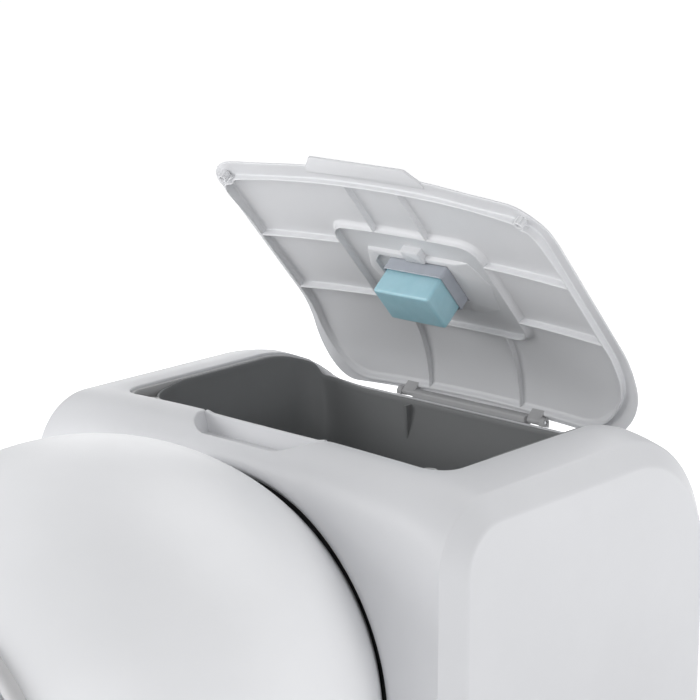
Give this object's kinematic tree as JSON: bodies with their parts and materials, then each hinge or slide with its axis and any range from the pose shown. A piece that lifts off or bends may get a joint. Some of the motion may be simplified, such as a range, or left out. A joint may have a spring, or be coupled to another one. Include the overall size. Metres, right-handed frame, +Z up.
{
  "type": "self-cleaning litter machine",
  "caption": "Self-cleaning cat litter machine with a ball drum, a rear bin tower, a ribbed lid standing part open and a deodoriser block under it.",
  "frame": {"origin": "on the floor under the middle of the machine", "axes": "+Z up; the front with the drum entrance faces -Y; +X is the right-hand side seen from the front"},
  "size_m": [0.532, 0.782, 0.7669],
  "materials": {
    "white_plastic": "satin",
    "grey_plastic": "satin",
    "bin_plastic": "satin",
    "dark_plastic": "satin",
    "gel": "satin",
    "clear_plastic": "satin",
    "steel": "satin",
    "soft_rubber": "satin",
    "board_green": "satin",
    "screen": "satin"
  },
  "bodies": {
    "machine": {"tower_shell": "white_plastic", "opening_frame": "grey_plastic", "rest_boss_left": "grey_plastic", "rest_boss_right": "grey_plastic", "hinge_cover": "grey_plastic", "hinge_lug_left": "grey_plastic", "hinge_lug_right": "grey_plastic", "hinge_pin_left": "steel", "hinge_pin_right": "steel", "bin_shelf": "grey_plastic", "chute": "bin_plastic", "gear_motor": "dark_plastic", "seal_ring": "soft_rubber", "socket_ring": "dark_plastic", "cradle_shell": "white_plastic", "step_mat": "soft_rubber", "base_pan": "grey_plastic", "roller_axle_left": "steel", "roller_axle_right": "steel", "axle_bracket_front_left": "grey_plastic", "axle_bracket_rear_left": "grey_plastic", "axle_bracket_front_right": "grey_plastic", "axle_bracket_rear_right": "grey_plastic", "foot_front_left": "soft_rubber", "foot_rear_left": "soft_rubber", "foot_front_right": "soft_rubber", "foot_rear_right": "soft_rubber", "load_cell_front_left": "steel", "load_cell_rear_left": "steel", "load_cell_front_right": "steel", "load_cell_rear_right": "steel", "control_bezel": "dark_plastic", "display_window": "screen", "vent_grille": "grey_plastic", "fan_frame": "dark_plastic", "power_inlet": "dark_plastic", "board_box": "dark_plastic", "main_board": "board_green"},
    "lid": {"lid_shell": "white_plastic", "lid_post_left": "white_plastic", "lid_post_right": "white_plastic", "holder_frame": "white_plastic", "cartridge_tray": "clear_plastic"},
    "latch": {"latch_tab": "white_plastic"},
    "gel": {"gel_block": "gel"},
    "bin": {"waste_bin": "bin_plastic"},
    "drum": {"drum_shell": "white_plastic", "entrance_ring": "grey_plastic", "drum_rear_plate": "grey_plastic", "ring_gear": "dark_plastic"},
    "pinion": {"pinion": "steel"},
    "roller_fl": {"roller_front_left": "soft_rubber"},
    "roller_rl": {"roller_rear_left": "soft_rubber"},
    "roller_fr": {"roller_front_right": "soft_rubber"},
    "roller_rr": {"roller_rear_right": "soft_rubber"},
    "flap": {"odour_flap": "soft_rubber"},
    "button_a": {"button_1": "grey_plastic"},
    "button_b": {"button_2": "grey_plastic"},
    "button_c": {"button_3": "grey_plastic"},
    "rotor": {"fan_rotor": "dark_plastic"}
  },
  "joints": [
    {"name": "lid_hinge", "type": "hinge", "parent": "machine", "child": "lid", "pos_m": [0, 0.338, 0.5], "axis": [-1, 0, 0], "range_deg": [-48.5, 25]},
    {"name": "latch_slide", "type": "slide", "parent": "lid", "child": "latch", "axis": [0, -0.6626, 0.749], "range_m": [0, 0.003], "stiffness_N_per_m": 400},
    {"name": "cartridge_pull", "type": "slide", "parent": "lid", "child": "gel", "axis": [0, -0.749, -0.6626], "range_m": [0, 0.03]},
    {"name": "bin_lift", "type": "slide", "parent": "machine", "child": "bin", "axis": [0, 0, 1], "range_m": [0, 0.05]},
    {"name": "drum_turn", "type": "hinge", "parent": "machine", "child": "drum", "pos_m": [0, -0.1645, 0.325], "axis": [0, 1, 0], "continuous": true},
    {"name": "pinion_turn", "type": "hinge", "parent": "machine", "child": "pinion", "pos_m": [0, 0.021, 0.1249], "axis": [0, 1, 0], "continuous": true},
    {"name": "flap_swing", "type": "hinge", "parent": "machine", "child": "flap", "pos_m": [0, 0.0652, 0.4445], "axis": [1, 0, 0], "range_deg": [0, 45]},
    {"name": "fan_turn", "type": "hinge", "parent": "machine", "child": "rotor", "pos_m": [0, 0.372, 0.116], "axis": [0, 1, 0], "continuous": true},
    {"name": "roller_fl_turn", "type": "hinge", "parent": "machine", "child": "roller_fl", "pos_m": [-0.14715, -0.2365, 0.12247], "axis": [0, 1, 0], "continuous": true},
    {"name": "roller_rl_turn", "type": "hinge", "parent": "machine", "child": "roller_rl", "pos_m": [-0.14715, -0.0925, 0.12247], "axis": [0, 1, 0], "continuous": true},
    {"name": "roller_fr_turn", "type": "hinge", "parent": "machine", "child": "roller_fr", "pos_m": [0.14715, -0.2365, 0.12247], "axis": [0, 1, 0], "continuous": true},
    {"name": "roller_rr_turn", "type": "hinge", "parent": "machine", "child": "roller_rr", "pos_m": [0.14715, -0.0925, 0.12247], "axis": [0, 1, 0], "continuous": true},
    {"name": "button_a_press", "type": "slide", "parent": "machine", "child": "button_a", "axis": [0, 1, 0], "range_m": [0, 0.0015], "stiffness_N_per_m": 600},
    {"name": "button_b_press", "type": "slide", "parent": "machine", "child": "button_b", "axis": [0, 1, 0], "range_m": [0, 0.0015], "stiffness_N_per_m": 600},
    {"name": "button_c_press", "type": "slide", "parent": "machine", "child": "button_c", "axis": [0, 1, 0], "range_m": [0, 0.0015], "stiffness_N_per_m": 600}
  ],
  "couplings": [
    {"joint": "pinion_turn", "follows": "drum_turn", "ratio": -6},
    {"joint": "roller_fl_turn", "follows": "drum_turn", "ratio": -16.853},
    {"joint": "roller_rl_turn", "follows": "drum_turn", "ratio": -16.853},
    {"joint": "roller_fr_turn", "follows": "drum_turn", "ratio": -16.853},
    {"joint": "roller_rr_turn", "follows": "drum_turn", "ratio": -16.853}
  ]
}
